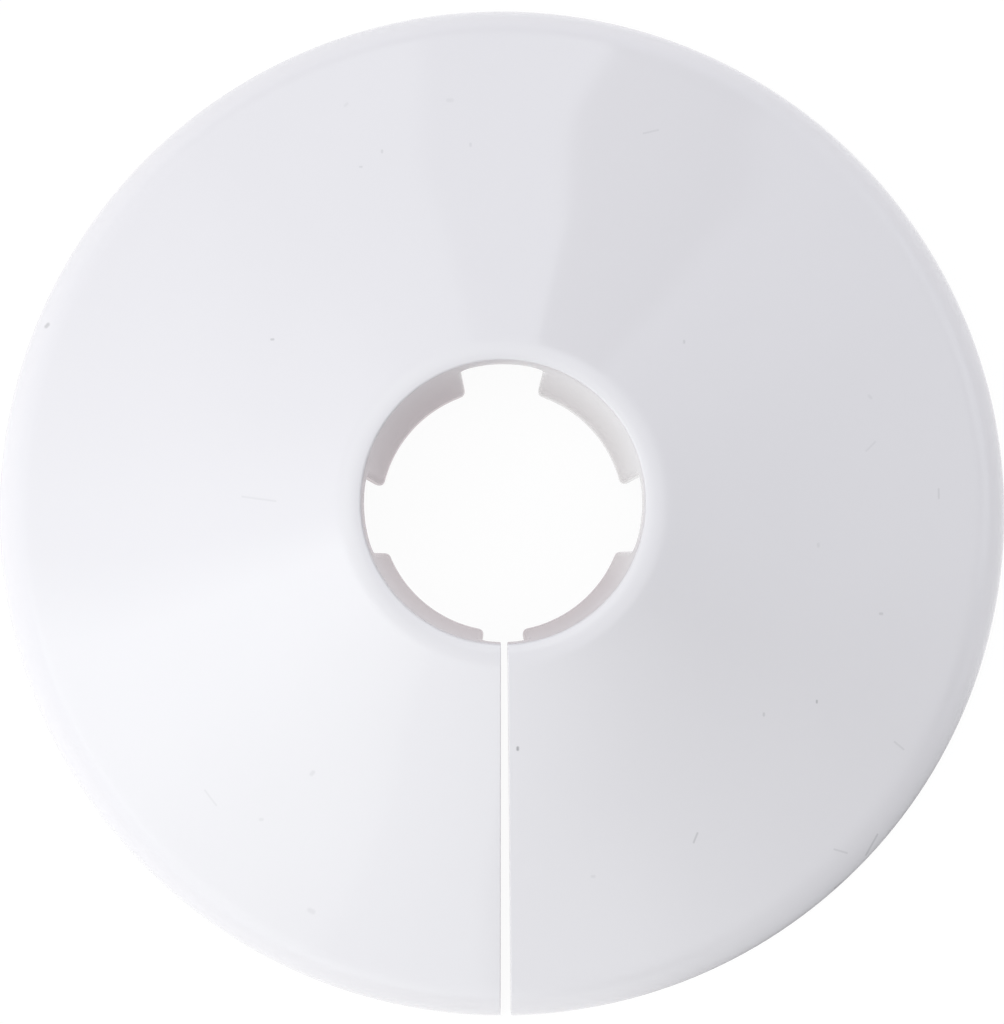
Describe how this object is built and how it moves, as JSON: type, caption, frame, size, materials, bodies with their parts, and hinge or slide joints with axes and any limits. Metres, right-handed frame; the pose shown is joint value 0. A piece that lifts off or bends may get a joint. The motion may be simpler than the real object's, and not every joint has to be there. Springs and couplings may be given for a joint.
{
  "type": "split escutcheon",
  "caption": "One-piece white plastic pipe collar: a shallow cone with a rolled rim, a straight slit, and sprung fingers round its hole that grip the pipe.",
  "frame": {"origin": "on the pipe's axis, in the plane of the rim's foot", "axes": "+Z along the pipe, away from the wall or floor that the collar lies on; the slit runs along -Y"},
  "size_m": [0.055, 0.055, 0.011],
  "materials": {
    "white_plastic": "glossy injection-moulded white polypropylene"
  },
  "bodies": {
    "root": {"collar": "white_plastic"}
  },
  "joints": []
}
